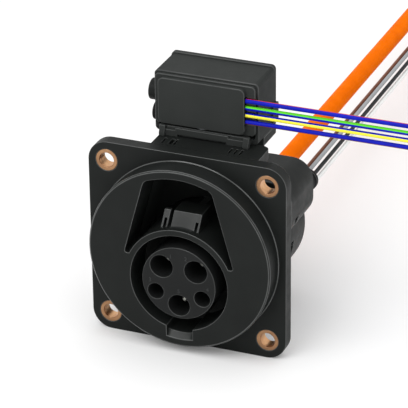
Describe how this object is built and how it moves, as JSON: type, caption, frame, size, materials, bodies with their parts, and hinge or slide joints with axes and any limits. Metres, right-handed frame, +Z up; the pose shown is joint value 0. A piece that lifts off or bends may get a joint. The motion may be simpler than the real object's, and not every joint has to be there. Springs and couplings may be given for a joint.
{
  "type": "charge port inlet",
  "caption": "Vehicle charging inlet in black plastic: square flange, raised disc with a round contact socket and latch pocket, lock actuator on top, and rear leads.",
  "frame": {"origin": "centre of the four mounting holes, on the flange's front face", "axes": "-Y out of the socket towards the plug, +Z up towards the lock actuator, +X right seen from the plug"},
  "size_m": [0.1973, 0.4472, 0.1188],
  "materials": {
    "housing_black": "moulded, fine grain",
    "insert_grey": "moulded, smooth",
    "bushing_bronze": "sintered, machined faces",
    "plated_copper": "silver plated, turned",
    "steel": "zinc plated",
    "rubber_black": "matt",
    "gear_white": "moulded acetal",
    "board_green": "solder resist",
    "cable_orange": "extruded jacket",
    "wire_brown": "extruded insulation",
    "wire_grey": "extruded insulation",
    "wire_black": "extruded insulation",
    "wire_white": "extruded insulation",
    "wire_blue": "extruded insulation with a coloured stripe"
  },
  "bodies": {
    "base": {"front_housing": "housing_black", "mounting_flange": "housing_black", "mounting_bushings": "bushing_bronze", "socket_barrel": "housing_black", "lock_block": "housing_black", "contact_insert": "insert_grey", "contact_carrier": "insert_grey", "power_pins": "plated_copper", "earth_pin": "plated_copper", "signal_pins": "plated_copper", "contact_retainer": "insert_grey", "retainer_screws": "steel", "temperature_sensor": "rubber_black", "rear_housing": "housing_black", "housing_seal": "rubber_black", "gland_body": "housing_black", "gland_nut": "housing_black", "cable_seal": "rubber_black", "wire_grommet": "rubber_black", "actuator_case": "housing_black", "actuator_cover": "housing_black", "wire_seal": "rubber_black", "retaining_bar": "housing_black", "vent_plug": "rubber_black", "bolt_seal": "rubber_black", "drive_motor": "steel", "motor_end_cap": "insert_grey", "circuit_board": "board_green", "position_switch": "insert_grey", "power_cable": "cable_orange", "power_cable_coil": "cable_orange", "sensor_wire_brown": "wire_brown", "sensor_wire_grey": "wire_grey", "sensor_wire_black": "wire_black", "sensor_wire_white": "wire_white", "sensor_wire_coil": "wire_grey", "actuator_wire_red": "wire_blue", "actuator_wire_green": "wire_blue", "actuator_wire_yellow": "wire_blue", "actuator_wire_brown": "wire_blue", "actuator_wire_coil": "wire_blue"},
    "drive": {"release_knob": "housing_black", "drive_shaft": "steel", "drive_gear": "gear_white"},
    "bolt": {"lock_bolt": "steel"},
    "rotor": {"motor_rotor": "steel", "motor_pinion": "steel"}
  },
  "joints": [
    {"name": "release_turn", "type": "hinge", "parent": "base", "child": "drive", "pos_m": [0, 0.0265, 0.0605], "axis": [1, 0, 0], "range_deg": [0, 100]},
    {"name": "bolt_slide", "type": "slide", "parent": "base", "child": "bolt", "axis": [0, 0, -1], "range_m": [0, 0.007]},
    {"name": "motor_spin", "type": "hinge", "parent": "base", "child": "rotor", "pos_m": [0, 0.0331, 0.05299], "axis": [1, 0, 0], "range_deg": [-401, 0]}
  ],
  "couplings": [
    {"joint": "bolt_slide", "follows": "release_turn", "m_per_rad": 0.004},
    {"joint": "motor_spin", "follows": "release_turn", "ratio": -4}
  ]
}
